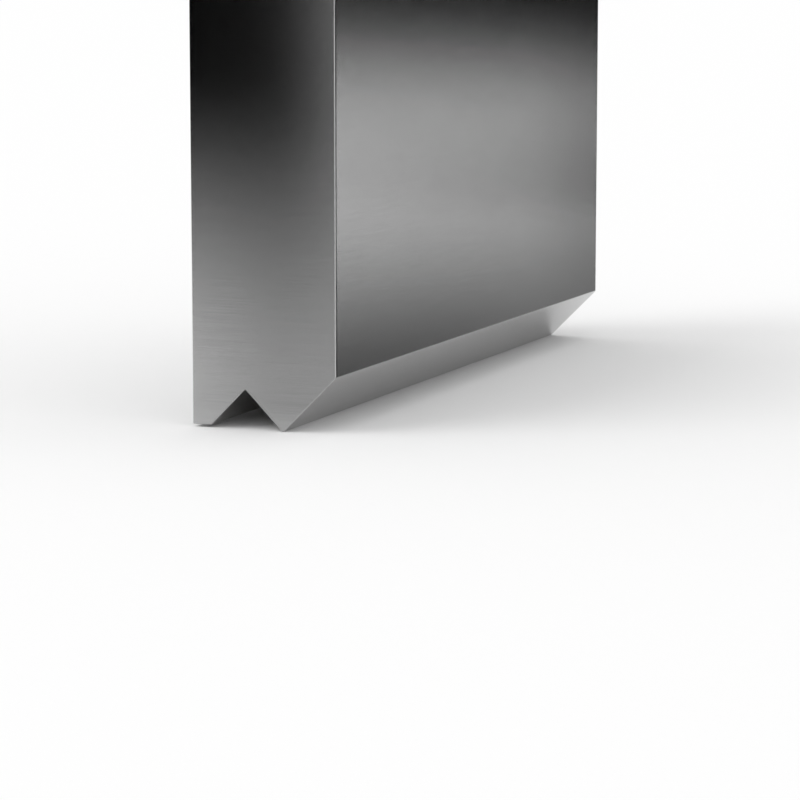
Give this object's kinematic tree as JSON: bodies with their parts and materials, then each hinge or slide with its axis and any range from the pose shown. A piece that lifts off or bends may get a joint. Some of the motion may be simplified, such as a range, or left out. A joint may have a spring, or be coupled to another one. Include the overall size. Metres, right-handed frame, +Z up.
{
  "type": "press brake punch",
  "caption": "Solid ground-steel punch for offset (Z) bends: zigzag working edge with a nose, a V groove and a foot, square shoulders and a slotted clamping tang.",
  "frame": {"origin": "middle of the punch's length, on the centre line of its body, at the level of the nose's lowest line", "axes": "+X is the front face's side, +Y runs along the bend, +Z points up from the working edge to the tang"},
  "size_m": [0.038, 0.2, 0.15],
  "materials": {
    "ground_steel": "fine-ground tool steel, satin"
  },
  "bodies": {
    "root": {"punch": "ground_steel"}
  },
  "joints": []
}
